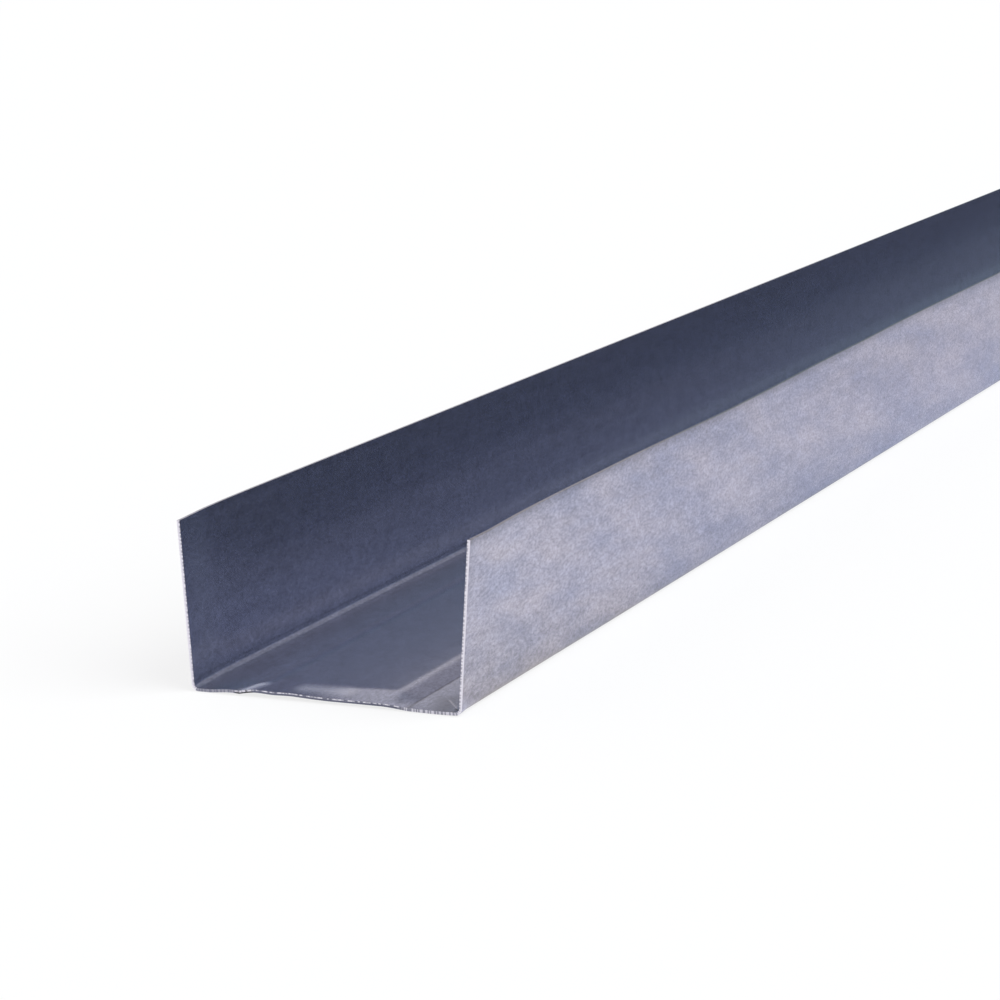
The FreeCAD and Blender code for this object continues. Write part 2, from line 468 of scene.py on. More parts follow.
def rolled_track_tree():
    """Node tree that runs the section along the length, then adds the marks of rolling and shearing."""
    tree = bpy.data.node_groups.new("rolled_track", "GeometryNodeTree")
    tree.interface.new_socket("Section", in_out="INPUT", socket_type="NodeSocketGeometry")
    for name, kind in (
        ("Length", "NodeSocketFloat"),
        ("Stations", "NodeSocketInt"),
        ("Leg height", "NodeSocketFloat"),
        ("Sheet", "NodeSocketFloat"),
        ("Pressed share", "NodeSocketFloat"),
        ("Pressed length", "NodeSocketFloat"),
        ("Strip lift", "NodeSocketFloat"),
        ("Waves", "NodeSocketFloat"),
        ("Zinc", "NodeSocketMaterial"),
    ):
        tree.interface.new_socket(name, in_out="INPUT", socket_type=kind)
    tree.interface.new_socket("Track", in_out="OUTPUT", socket_type="NodeSocketGeometry")
    given = add_node(tree, "NodeGroupInput")
    section = given["Section"]
    stations = given["Stations"]

    # A flat grid: one column for each point of the section, one row for each station
    count = add_node(tree, "GeometryNodeAttributeDomainSize", {0: section}, component="MESH")[0]
    grid = add_node(tree, "GeometryNodeMeshGrid", {"Vertices X": count, "Vertices Y": stations})["Mesh"]
    index = add_node(tree, "GeometryNodeInputIndex")[0]
    ratio = add_node(tree, "ShaderNodeMath", {0: index, 1: stations}, operation="DIVIDE")[0]
    column = add_node(tree, "ShaderNodeMath", {0: ratio}, operation="FLOOR")[0]
    row = add_node(tree, "ShaderNodeMath", {0: index, 1: stations}, operation="MODULO")[0]

    # Stations crowd towards both ends, where the shear bent the sheet
    last_row = add_node(tree, "ShaderNodeMath", {0: stations, 1: 1.0}, operation="SUBTRACT")[0]
    along = add_node(
        tree,
        "ShaderNodeMapRange",
        {"Value": row, "From Max": last_row, "To Min": -1.0, "To Max": 1.0},
    )[0]
    side = add_node(tree, "ShaderNodeMath", {0: along}, operation="SIGN")[0]
    reach = add_node(tree, "ShaderNodeMath", {0: along}, operation="ABSOLUTE")[0]
    inward = add_node(tree, "ShaderNodeMath", {0: 1.0, 1: reach}, operation="SUBTRACT")[0]
    steep = add_node(tree, "ShaderNodeMath", {0: inward, 1: CROWDING}, operation="POWER")[0]
    crowded = add_node(tree, "ShaderNodeMix", {"Factor": EVEN_SHARE, "A": steep, "B": inward})[0]
    outward = add_node(tree, "ShaderNodeMath", {0: 1.0, 1: crowded}, operation="SUBTRACT")[0]
    half = add_node(tree, "ShaderNodeMath", {0: given["Length"], 1: 0.5}, operation="MULTIPLY")[0]
    signed = add_node(tree, "ShaderNodeMath", {0: outward, 1: side}, operation="MULTIPLY")[0]
    station = add_node(tree, "ShaderNodeMath", {0: signed, 1: half}, operation="MULTIPLY")[0]
    near = add_node(tree, "ShaderNodeMath", {0: station, 1: half}, operation="ADD")[0]

    # The section's point for each column, with its bends squeezed at the near end
    place = add_node(tree, "GeometryNodeInputPosition")[0]
    on_section = add_node(
        tree,
        "GeometryNodeSampleIndex",
        {"Geometry": section, "Value": place, "Index": column},
        data_type="FLOAT_VECTOR",
    )[0]
    on_cut = from_section(tree, section, column, "cut", "FLOAT_VECTOR")
    squeeze = add_node(
        tree,
        "ShaderNodeMapRange",
        {"Value": near, "From Max": SQUEEZED_LENGTH, "To Min": 1.0, "To Max": 0.0},
        interpolation_type="SMOOTHSTEP",
    )[0]
    squeezed = add_node(
        tree, "ShaderNodeMix", {0: squeeze, 4: on_section, 5: on_cut}, data_type="VECTOR"
    )[1]
    x, _, z = add_node(tree, "ShaderNodeSeparateXYZ", {0: squeezed})

    # The blade pushed the left corner a little to the right, and the right one stands out all along
    on_right = add_node(tree, "ShaderNodeMath", {0: x, 1: 0.0}, operation="GREATER_THAN")[0]
    push = from_section(tree, section, column, "push", "FLOAT")
    pushed = add_node(
        tree,
        "ShaderNodeMapRange",
        {"Value": near, "From Max": PUSHED_LENGTH, "To Min": 1.0, "To Max": 0.0},
        interpolation_type="SMOOTHSTEP",
    )[0]
    pushed = add_node(tree, "ShaderNodeMath", {0: pushed, 1: on_right}, operation="MAXIMUM")[0]
    x = add_node(tree, "ShaderNodeMath", {0: push, 1: pushed, 2: x}, operation="MULTIPLY_ADD")[0]

    # Each leg swings sideways in proportion to the height on it
    left_swing = leg_swing(tree, near, LEFT_LEG_BENDS)
    right_swing = leg_swing(tree, near, RIGHT_LEG_BENDS)
    swing = add_node(tree, "ShaderNodeMix", {"Factor": on_right, "A": left_swing, "B": right_swing})[0]
    wave_at = add_node(tree, "ShaderNodeCombineXYZ", {0: on_right, 1: station})[0]
    noise = add_node(
        tree, "ShaderNodeTexNoise", {"Vector": wave_at, "Scale": 1 / WAVE_SPACING, "Detail": 1.0}
    )[0]
    wave = add_node(
        tree,
        "ShaderNodeMapRange",
        {"Value": noise, "From Min": 0.2, "From Max": 0.8, "To Min": -1.0, "To Max": 1.0},
    )[0]
    wave = add_node(tree, "ShaderNodeMath", {0: wave, 1: given["Waves"]}, operation="MULTIPLY")[0]
    set_in = add_node(
        tree,
        "ShaderNodeMapRange",
        {"Value": near, "From Min": WAVES_FROM[0], "From Max": WAVES_FROM[1]},
    )[0]
    wave = add_node(tree, "ShaderNodeMath", {0: wave, 1: set_in}, operation="MULTIPLY")[0]
    swing = add_node(tree, "ShaderNodeMath", {0: swing, 1: wave}, operation="ADD")[0]
    up_leg = add_node(
        tree,
        "ShaderNodeMapRange",
        {"Value": z, "From Min": SWING_FOOT, "From Max": given["Leg height"]},
    )[0]
    swing = add_node(tree, "ShaderNodeMath", {0: swing, 1: up_leg}, operation="MULTIPLY")[0]
    new_x = add_node(tree, "ShaderNodeMath", {0: x, 1: swing}, operation="ADD")[0]

    # Beside the near end the right of the web is lifted, and its strip runs down in a hollow
    inner = add_node(
        tree,
        "ShaderNodeMapRange",
        {"Value": x, "From Min": LIFTED_ACROSS[0], "From Max": LIFTED_ACROSS[1]},
        interpolation_type="SMOOTHSTEP",
    )[0]
    hollow = add_node(
        tree,
        "ShaderNodeMapRange",
        {
            "Value": x,
            "From Min": HOLLOW_ACROSS[0],
            "From Max": HOLLOW_ACROSS[1],
            "To Min": HOLLOW_LEVELS[0],
            "To Max": HOLLOW_LEVELS[1],
        },
    )[0]
    by_end = add_node(
        tree,
        "ShaderNodeMapRange",
        {
            "Value": near,
            "From Min": LIFTED_ALONG[0],
            "From Max": LIFTED_ALONG[1],
            "To Min": 1.0,
            "To Max": 0.0,
        },
        interpolation_type="SMOOTHSTEP",
    )[0]
    lifted = given["Strip lift"]
    for limit in (inner, hollow, hollow, by_end):
        lifted = add_node(tree, "ShaderNodeMath", {0: lifted, 1: limit}, operation="MULTIPLY")[0]
    z = add_node(tree, "ShaderNodeMath", {0: z, 1: lifted}, operation="ADD")[0]

    # The shear folded the right of the panel down, along a line that runs out on the left
    fold = add_node(
        tree,
        "ShaderNodeMapRange",
        {
            "Value": x,
            "From Min": FOLD_ACROSS[0],
            "From Max": FOLD_ACROSS[1],
            "To Min": FOLD_LEAST,
            "To Max": 1.0,
        },
        interpolation_type="SMOOTHSTEP",
    )[0]
    fold = add_node(
        tree, "ShaderNodeMath", {0: fold, 1: given["Pressed length"]}, operation="MULTIPLY"
    )[0]
    from_fold = add_node(tree, "ShaderNodeMath", {0: near, 1: fold}, operation="DIVIDE")[0]
    from_fold = add_node(
        tree, "ShaderNodeMapRange", {"Value": from_fold, "To Min": 1.0, "To Max": 0.0}
    )[0]
    pressed = add_node(
        tree,
        "ShaderNodeMapRange",
        {"Value": x, "From Min": PRESSED_ACROSS[0], "From Max": PRESSED_ACROSS[1]},
        interpolation_type="SMOOTHSTEP",
    )[0]
    aside = add_node(tree, "ShaderNodeMath", {0: x}, operation="ABSOLUTE")[0]
    in_web = add_node(
        tree,
        "ShaderNodeMapRange",
        {
            "Value": aside,
            "From Min": PRESSED_END[0],
            "From Max": PRESSED_END[1],
            "To Min": 1.0,
            "To Max": 0.0,
        },
    )[0]
    for limit in (given["Pressed share"], from_fold, in_web):
        pressed = add_node(tree, "ShaderNodeMath", {0: pressed, 1: limit}, operation="MULTIPLY")[0]
    half_sheet = add_node(tree, "ShaderNodeMath", {0: given["Sheet"], 1: 0.5}, operation="MULTIPLY")[0]
    rise = add_node(tree, "ShaderNodeMath", {0: z, 1: half_sheet}, operation="SUBTRACT")[0]
    drop = add_node(tree, "ShaderNodeMath", {0: pressed, 1: rise}, operation="MULTIPLY")[0]
    new_z = add_node(tree, "ShaderNodeMath", {0: z, 1: drop}, operation="SUBTRACT")[0]

    # It also evened out the left slope: up on its foot, down on its brow
    evened = add_node(
        tree,
        "ShaderNodeMapRange",
        {"Value": near, "From Max": EVENED_LENGTH, "To Min": 1.0, "To Max": 0.0},
    )[0]
    for middle, up in EVENED_SLOPE:
        off = add_node(tree, "ShaderNodeMath", {0: x, 1: middle}, operation="SUBTRACT")[0]
        off = add_node(tree, "ShaderNodeMath", {0: off}, operation="ABSOLUTE")[0]
        moved = add_node(
            tree,
            "ShaderNodeMapRange",
            {"Value": off, "From Max": EVENED_REACH, "To Min": up, "To Max": 0.0},
            interpolation_type="SMOOTHSTEP",
        )[0]
        moved = add_node(tree, "ShaderNodeMath", {0: moved, 1: evened}, operation="MULTIPLY")[0]
        new_z = add_node(tree, "ShaderNodeMath", {0: new_z, 1: moved}, operation="ADD")[0]

    # A small bulge on that slope, just behind the cut
    bulge_at = add_node(tree, "ShaderNodeCombineXYZ", {0: x, 1: near})[0]
    for step, operation in ((BULGE_PLACE, "SUBTRACT"), (BULGE_SCALE, "MULTIPLY")):
        bulge_at = add_node(tree, "ShaderNodeVectorMath", {0: bulge_at, 1: step}, operation=operation)[0]
    from_bulge = add_node(tree, "ShaderNodeVectorMath", {0: bulge_at}, operation="LENGTH")["Value"]
    bulge = add_node(
        tree,
        "ShaderNodeMapRange",
        {"Value": from_bulge, "To Min": BULGE_HEIGHT, "To Max": 0.0},
        interpolation_type="SMOOTHSTEP",
    )[0]
    new_z = add_node(tree, "ShaderNodeMath", {0: new_z, 1: bulge}, operation="ADD")[0]

    target = add_node(tree, "ShaderNodeCombineXYZ", {0: new_x, 1: station, 2: new_z})[0]
    rolled = add_node(tree, "GeometryNodeSetPosition", {"Geometry": grid, "Position": target})[0]
    across = from_section(tree, section, column, "across", "FLOAT")
    unrolled = add_node(tree, "ShaderNodeCombineXYZ", {0: across, 1: near})[0]
    flat = add_node(
        tree, "GeometryNodeFieldOnDomain", {0: unrolled}, data_type="FLOAT_VECTOR", domain="POINT"
    )[0]
    mapped = add_node(
        tree,
        "GeometryNodeStoreNamedAttribute",
        {"Geometry": rolled, "Name": SHEET_MAP, "Value": flat},
        data_type="FLOAT2",
        domain="CORNER",
    )[0]
    smooth = add_node(tree, "GeometryNodeSetShadeSmooth", {0: mapped})[0]
    whole = add_node(tree, "GeometryNodeRealizeInstances", {0: smooth})[0]
    zinced = add_node(
        tree, "GeometryNodeSetMaterial", {"Geometry": whole, "Material": given["Zinc"]}
    )[0]
    add_node(tree, "NodeGroupOutput", {0: zinced})
    return tree


def new_material(name):
    """An empty node material and its tree."""
    material = bpy.data.materials.new(name)
    material.use_nodes = True
    material.node_tree.nodes.clear()
    return material, material.node_tree


def mark(tree, place, start, end, width):
    """A mask that is 1 on the line between two points of the sheet and 0 at a width from it."""
    start = Vector((*start, 0)) * MM
    run = Vector((*end, 0)) * MM - start
    out = add_node(tree, "ShaderNodeVectorMath", {0: place, 1: start}, operation="SUBTRACT")[0]
    part = add_node(
        tree, "ShaderNodeVectorMath", {0: out, 1: run / run.length_squared}, operation="DOT_PRODUCT"
    )["Value"]
    part = add_node(tree, "ShaderNodeClamp", {"Value": part})[0]
    foot = add_node(tree, "ShaderNodeVectorMath", {0: run, "Scale": part}, operation="SCALE")[0]
    off = add_node(tree, "ShaderNodeVectorMath", {0: out, 1: foot}, operation="DISTANCE")["Value"]
    return add_node(
        tree,
        "ShaderNodeMapRange",
        {"Value": off, "From Max": width * MM, "To Min": 1.0, "To Max": 0.0},
        interpolation_type="SMOOTHSTEP",
    )[0]


def zinc_patches(tree, place, width, length, turn, detail, roughness):
    """Noise in patches of a width across the strip and a length along it, in millimetres."""
    patch_at = add_node(
        tree,
        "ShaderNodeMapping",
        {"Vector": place, "Rotation": turn, "Scale": (1 / (width * MM), 1 / (length * MM), 1)},
    )[0]
    return add_node(
        tree,
        "ShaderNodeTexNoise",
        {"Vector": patch_at, "Scale": 1.0, "Detail": detail, "Roughness": roughness},
    )[0]


def galvanised_steel(finish, half_width):
    """Hot-dip galvanised, skin-passed steel sheet, slit to a strip of twice the half width.

    The skin-pass rolls print a fine matt grain in the zinc, so it mirrors only broad light and dark.
    Soft clouds differ a little in hue.
    """
    material, tree = new_material("galvanised_steel_skin_passed")
    sheet = add_node(tree, "ShaderNodeUVMap", uv_map=SHEET_MAP)[0]
    outside = add_node(tree, "ShaderNodeAttribute", attribute_name=THROUGH)["Fac"]
    inside = add_node(tree, "ShaderNodeMath", {0: 1.0, 1: outside}, operation="SUBTRACT")[0]

    # Grain of the rolls, about half a millimetre, and mottle of about three millimetres
    turned = (0.3, 0.2, 0.6)
    grain = zinc_patches(tree, sheet, 0.45, 1.0, turned, 3.0, 0.65)
    mottle = zinc_patches(tree, sheet, 2.5, 4.0, turned, 2.0, 0.6)
    # Clouds of about seven by thirty millimetres, a little aslant, and faint streaks along the strip
    aslant = add_node(tree, "ShaderNodeMapping", {"Vector": sheet, "Rotation": (0.0, 0.0, -0.15)})[0]
    cloud = zinc_patches(tree, aslant, 7.0, 28.0, turned, 3.0, 0.55)
    streak = zinc_patches(tree, sheet, 1.3, 70.0, (0.0, 0.3, 0.0), 2.0, 0.6)

    hue = add_node(tree, "ShaderNodeMapRange", {"Value": cloud, "From Min": 0.35, "From Max": 0.65})[0]
    clouds = add_node(
        tree,
        "ShaderNodeMix",
        {0: hue, 6: (*finish.zinc_blue, 1), 7: (*finish.zinc_lilac, 1)},
        data_type="RGBA",
    )[2]
    # Inside the channel the even zinc, painted a little darker as shade
    clouds = add_node(
        tree,
        "ShaderNodeMix",
        {0: outside, 6: (*finish.zinc_inside_shaded, 1), 7: clouds},
        data_type="RGBA",
    )[2]
    # The grain shows less inside than outside, and mottle and streaks show alike
    depth = add_node(tree, "ShaderNodeMapRange", {"Value": outside, "To Min": 0.22, "To Max": 0.29})[0]
    low = add_node(tree, "ShaderNodeMath", {0: 1.0, 1: depth}, operation="SUBTRACT")[0]
    high = add_node(tree, "ShaderNodeMath", {0: 1.0, 1: depth}, operation="ADD")[0]
    tone = 1.0
    for pattern, least, most in ((grain, low, high), (mottle, 0.91, 1.09), (streak, 0.95, 1.05)):
        shade = add_node(
            tree,
            "ShaderNodeMapRange",
            {"Value": pattern, "From Min": 0.3, "From Max": 0.7, "To Min": least, "To Max": most},
        )[0]
        tone = add_node(tree, "ShaderNodeMath", {0: tone, 1: shade}, operation="MULTIPLY")[0]

    # Painted shade on the outer side of the legs' tips, where slitting rounded the sheet so it mirrors
    # less light; slitting also left one edge dull
    lip_shade_width = 1.6 * MM
    edge_width = 0.01 * MM
    across = add_node(tree, "ShaderNodeSeparateXYZ", {0: sheet})[0]
    aside = add_node(tree, "ShaderNodeMath", {0: across}, operation="ABSOLUTE")[0]
    tip_darkening = add_node(
        tree,
        "ShaderNodeMapRange",
        {"Value": aside, "From Min": half_width - lip_shade_width, "From Max": half_width, "To Max": 0.36},
    )[0]
    tip_darkening = add_node(tree, "ShaderNodeMath", {0: tip_darkening, 1: outside}, operation="MULTIPLY")[0]
    on_edge = add_node(
        tree, "ShaderNodeMath", {0: across, 1: half_width - edge_width}, operation="GREATER_THAN"
    )[0]
    dull = add_node(tree, "ShaderNodeMath", {0: on_edge, 1: 0.55}, operation="MULTIPLY")[0]
    tip_darkening = add_node(tree, "ShaderNodeMath", {0: tip_darkening, 1: dull}, operation="MAXIMUM")[0]
    kept = add_node(tree, "ShaderNodeMath", {0: 1.0, 1: tip_darkening}, operation="SUBTRACT")[0]
    tone = add_node(tree, "ShaderNodeMath", {0: tone, 1: kept}, operation="MULTIPLY")[0]
    colour = add_node(tree, "ShaderNodeVectorMath", {0: clouds, 1: tone}, operation="MULTIPLY")[0]

    # Thin zinc oxide scatters a little of the light, so the shaded inside is not black
    metal = 0.9
    # Painted light and shade, marks and a scuff on the upper side, each a mask over the colour
    for marks, scattering in ((PAINTED_LIGHT_AND_MARKS, False), (SCUFFS_AND_PAINTED_HIGHLIGHTS, True)):
        for start, end, width, strength, patch_colour in marks:
            mask = mark(tree, sheet, start, end, width)
            mask = add_node(tree, "ShaderNodeMath", {0: mask, 1: inside}, operation="MULTIPLY")[0]
            mask = add_node(tree, "ShaderNodeMath", {0: mask, 1: strength}, operation="MULTIPLY")[0]
            colour = add_node(
                tree, "ShaderNodeMix", {0: mask, 6: colour, 7: (*linear(patch_colour), 1)}, data_type="RGBA"
            )[2]
            if scattering:
                metal = add_node(tree, "ShaderNodeMix", {"Factor": mask, "A": metal, "B": 0.4})[0]
    rough = add_node(tree, "ShaderNodeMapRange", {"Value": outside, "To Min": 0.17, "To Max": 0.27})[0]
    bump = add_node(
        tree, "ShaderNodeBump", {"Strength": 0.15, "Distance": 0.02 * MM, "Height": grain}
    )[0]
    surface = add_node(
        tree,
        "ShaderNodeBsdfPrincipled",
        {"Base Color": colour, "Metallic": metal, "Roughness": rough, "Normal": bump},
    )[0]
    add_node(tree, "ShaderNodeOutputMaterial", {"Surface": surface})
    return material


def edge_patches(tree, across, size, detail):
    """Noise along a cut edge, in patches of a size in millimetres."""
    patch_at = add_node(tree, "ShaderNodeMath", {0: across, 1: 1 / (size * MM)}, operation="MULTIPLY")[0]
    return add_node(
        tree,
        "ShaderNodeTexNoise",
        {"W": patch_at, "Scale": 1.0, "Detail": detail},
        noise_dimensions="1D",
    )[0]


def sheared_steel(finish):
    """Sheared edge of galvanised steel sheet.

    The blade burnishes the first part of the thickness, which shines, and the rest tears off dark.
    Fine ridges cross it.
    """
    web_reach = 23.2 * MM
    strip_start = (13 * MM, 15 * MM)
    ridge_spacing = 0.58 * MM
    ridge_drift = 0.9 * MM
    burr_middle = -14.3 * MM
    burr_reach = (1.4 * MM, 1.8 * MM)

    material, tree = new_material("steel_sheared_edge")
    sheet = add_node(tree, "ShaderNodeUVMap", uv_map=SHEET_MAP)[0]
    through = add_node(tree, "ShaderNodeAttribute", attribute_name=THROUGH)["Fac"]
    across = add_node(tree, "ShaderNodeSeparateXYZ", {0: sheet})[0]
    aside = add_node(tree, "ShaderNodeMath", {0: across}, operation="ABSOLUTE")[0]
    in_web = add_node(tree, "ShaderNodeMath", {0: aside, 1: web_reach}, operation="LESS_THAN")[0]
    on_right = add_node(tree, "ShaderNodeMath", {0: across, 1: 0.0}, operation="GREATER_THAN")[0]

    # Ridges about 0.6 mm apart, unevenly
    uneven = edge_patches(tree, across, 1.1, 2.0)
    moved = add_node(
        tree, "ShaderNodeMath", {0: uneven, 1: ridge_drift, 2: across}, operation="MULTIPLY_ADD"
    )[0]
    turns = add_node(
        tree, "ShaderNodeMath", {0: moved, 1: 2 * math.pi / ridge_spacing}, operation="MULTIPLY"
    )[0]
    ridge = add_node(tree, "ShaderNodeMath", {0: turns}, operation="SINE")[0]
    ridge = add_node(tree, "ShaderNodeMapRange", {"Value": ridge, "From Min": -0.5, "From Max": 0.5})[0]

    # On the panel a bright line with breaks about a millimetre long, over a dark one
    breaks = edge_patches(tree, across, 0.9, 1.0)
    breaks = add_node(
        tree, "ShaderNodeMapRange", {"Value": breaks, "From Min": 0.42, "From Max": 0.58}
    )[0]
    breaks = add_node(tree, "ShaderNodeMath", {0: breaks, 1: 0.9}, operation="MULTIPLY")[0]
    torn = add_node(
        tree,
        "ShaderNodeMapRange",
        {"Value": through, "From Min": 0.3, "From Max": 0.5},
        interpolation_type="SMOOTHSTEP",
    )[0]
    panel_dark = add_node(tree, "ShaderNodeMath", {0: breaks, 1: torn}, operation="MAXIMUM")[0]

    # On the strips clear ridges, on a darker ground on the left
    clear = add_node(tree, "ShaderNodeMapRange", {"Value": on_right, "To Min": 0.25, "To Max": 0.6})[0]
    ground = add_node(tree, "ShaderNodeMapRange", {"Value": on_right, "To Min": 0.6, "To Max": 0.1})[0]
    strip_dark = add_node(
        tree, "ShaderNodeMath", {0: ridge, 1: clear, 2: ground}, operation="MULTIPLY_ADD"
    )[0]
    on_strip = add_node(
        tree,
        "ShaderNodeMapRange",
        {"Value": aside, "From Min": strip_start[0], "From Max": strip_start[1]},
    )[0]
    web_dark = add_node(
        tree, "ShaderNodeMix", {"Factor": on_strip, "A": panel_dark, "B": strip_dark}
    )[0]

    # On the legs ridges along the inner rim
    at_rim = add_node(
        tree,
        "ShaderNodeMapRange",
        {"Value": through, "From Min": 0.15, "From Max": 0.6, "To Min": 0.75, "To Max": 0.0},
    )[0]
    leg_dark = add_node(tree, "ShaderNodeMath", {0: ridge, 1: at_rim}, operation="MULTIPLY")[0]
    dark = add_node(tree, "ShaderNodeMix", {"Factor": in_web, "A": leg_dark, "B": web_dark})[0]
    colour = add_node(
        tree,
        "ShaderNodeMix",
        {0: dark, 6: (*finish.sheared, 1), 7: (*finish.torn, 1)},
        data_type="RGBA",
    )[2]

    # A short burr on the left slope: bright crumbs over painted shadow in the gap beneath them
    off_burr = add_node(tree, "ShaderNodeMath", {0: across, 1: burr_middle}, operation="SUBTRACT")[0]
    off_burr = add_node(tree, "ShaderNodeMath", {0: off_burr}, operation="ABSOLUTE")[0]
    burr = add_node(
        tree,
        "ShaderNodeMapRange",
        {
            "Value": off_burr,
            "From Min": burr_reach[0],
            "From Max": burr_reach[1],
            "To Min": 1.0,
            "To Max": 0.0,
        },
    )[0]
    crumbs = edge_patches(tree, across, 0.5, 1.0)
    crumbs = add_node(
        tree, "ShaderNodeMapRange", {"Value": crumbs, "From Min": 0.35, "From Max": 0.55, "To Min": 0.3}
    )[0]
    over = add_node(
        tree,
        "ShaderNodeMapRange",
        {"Value": through, "From Min": 0.55, "From Max": 0.65, "To Min": 1.0, "To Max": 0.0},
    )[0]
    crumbs = add_node(tree, "ShaderNodeMath", {0: crumbs, 1: over}, operation="MULTIPLY")[0]
    # The dark under the crumbs is painted shadow
    burr_over_shadow = add_node(
        tree,
        "ShaderNodeMix",
        {0: crumbs, 6: (*linear("303038"), 1), 7: (*finish.sheared, 1)},
        data_type="RGBA",
    )[2]
    colour = add_node(tree, "ShaderNodeMix", {0: burr, 6: colour, 7: burr_over_shadow}, data_type="RGBA")[2]

    rough = add_node(tree, "ShaderNodeMapRange", {"Value": dark, "To Min": 0.35, "To Max": 0.6})[0]
    bump = add_node(tree, "ShaderNodeBump", {"Strength": 0.3, "Distance": 0.05 * MM, "Height": ridge})[0]
    surface = add_node(
        tree,
        "ShaderNodeBsdfPrincipled",
        {"Base Color": colour, "Metallic": 1.0, "Roughness": rough, "Normal": bump},
    )[0]
    add_node(tree, "ShaderNodeOutputMaterial", {"Surface": surface})
    return material


class TRACK_OT_roll_sheet(bpy.types.Operator):
    """Roll the strip of galvanised sheet into the track"""

    bl_idname = "track.roll_sheet"
    bl_label = "Roll the track"

    def execute(self, context):
        sizes = context.scene.track_sizes
        finish = context.scene.track_finish

        # The section, with the length across it, its shape at the cut, and how far its corners are pushed
        points = section_line(sizes, sizes.bend_radius)
        mesh = bpy.data.meshes.new("track_section")
        mesh.from_pydata(points, [(k, k + 1) for k in range(len(points) - 1)], [])
        across = [0.0]
        for before, after in zip(points, points[1:]):
            across.append(across[-1] + (after - before).length)
        half_width = across[-1] / 2
        layer = mesh.attributes.new("across", "FLOAT", "POINT")
        layer.data.foreach_set("value", [a - half_width for a in across])
        at_cut = section_line(sizes, sizes.cut_radius)
        layer = mesh.attributes.new("cut", "FLOAT_VECTOR", "POINT")
        layer.data.foreach_set("vector", [level for point in at_cut for level in point])
        pushes = [sizes.right_push if point.x > 0 else sizes.left_push for point in points]
        start, end = PUSHED_ACROSS
        grown = [min(max((abs(point.x) - start) / (end - start), 0), 1) for point in points]
        layer = mesh.attributes.new("push", "FLOAT", "POINT")
        layer.data.foreach_set("value", [a * b for a, b in zip(pushes, grown)])
        piece = bpy.data.objects.new("track_sheet", mesh)
        context.scene.collection.objects.link(piece)

        zinc = galvanised_steel(finish, half_width)
        edge = sheared_steel(finish)
        tree = rolled_track_tree()
        rolling = piece.modifiers.new("rolled_track", "NODES")
        rolling.node_group = tree
        values = {
            "Length": sizes.track_length,
            "Stations": sizes.stations,
            "Leg height": sizes.leg_height,
            "Sheet": sizes.sheet_thickness,
            "Pressed share": sizes.pressed_share,
            "Pressed length": sizes.pressed_length,
            "Strip lift": sizes.strip_lift,
            "Waves": sizes.wave,
            "Zinc": zinc,
        }
        for item in tree.interface.items_tree:
            if item.in_out == "INPUT" and item.name in values:
                rolling[item.identifier] = values[item.name]
        wall = piece.modifiers.new("sheet_thickness", "SOLIDIFY")
        wall.thickness = sizes.sheet_thickness
        wall.offset = 0.0
        wall.use_even_offset = True

        evaluated = piece.evaluated_get(context.evaluated_depsgraph_get())
        rolled = bpy.data.meshes.new_from_object(evaluated)
        piece.modifiers.clear()
        piece.data = rolled
        rolled.name = "track_sheet"
        one_side = len(points) * sizes.stations
        skin = 2 * (len(points) - 1) * (sizes.stations - 1)
        if len(rolled.vertices) != 2 * one_side or len(rolled.polygons) <= skin:
            raise RuntimeError("the track was not rolled")

        # The upper side is the inside of the channel
        middle = len(points) // 2 * sizes.stations + sizes.stations // 2
        first_is_upper = rolled.vertices[middle].co.z > rolled.vertices[middle + one_side].co.z
        sides = (0.0, 1.0) if first_is_upper else (1.0, 0.0)
        layer = rolled.attributes.new(THROUGH, "FLOAT", "POINT")
        layer.data.foreach_set("value", [side for side in sides for _ in range(one_side)])

        # The ends are sheared, and the tips of the legs keep the zinc's look
        rolled.materials.clear()
        rolled.materials.append(zinc)
        rolled.materials.append(edge)
        for face in rolled.polygons[skin:]:
            face.material_index = int(abs(face.normal.y) > END_FACING)
        rolled.set_sharp_from_angle(angle=SHARP_ANGLE)
        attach(piece, BODY)
        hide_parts(NODE)
        return {"FINISHED"}


def set_stops(stops, tones):
    """Gives a colour ramp its places, from low to high, and their hex colours."""
    for stop, (place, tone) in zip((stops[0], stops[1]), (tones[0], tones[-1])):
        stop.position = place
        stop.color = (*linear(tone), 1)
    for place, tone in tones[1:-1]:
        stops.new(place).color = (*linear(tone), 1)


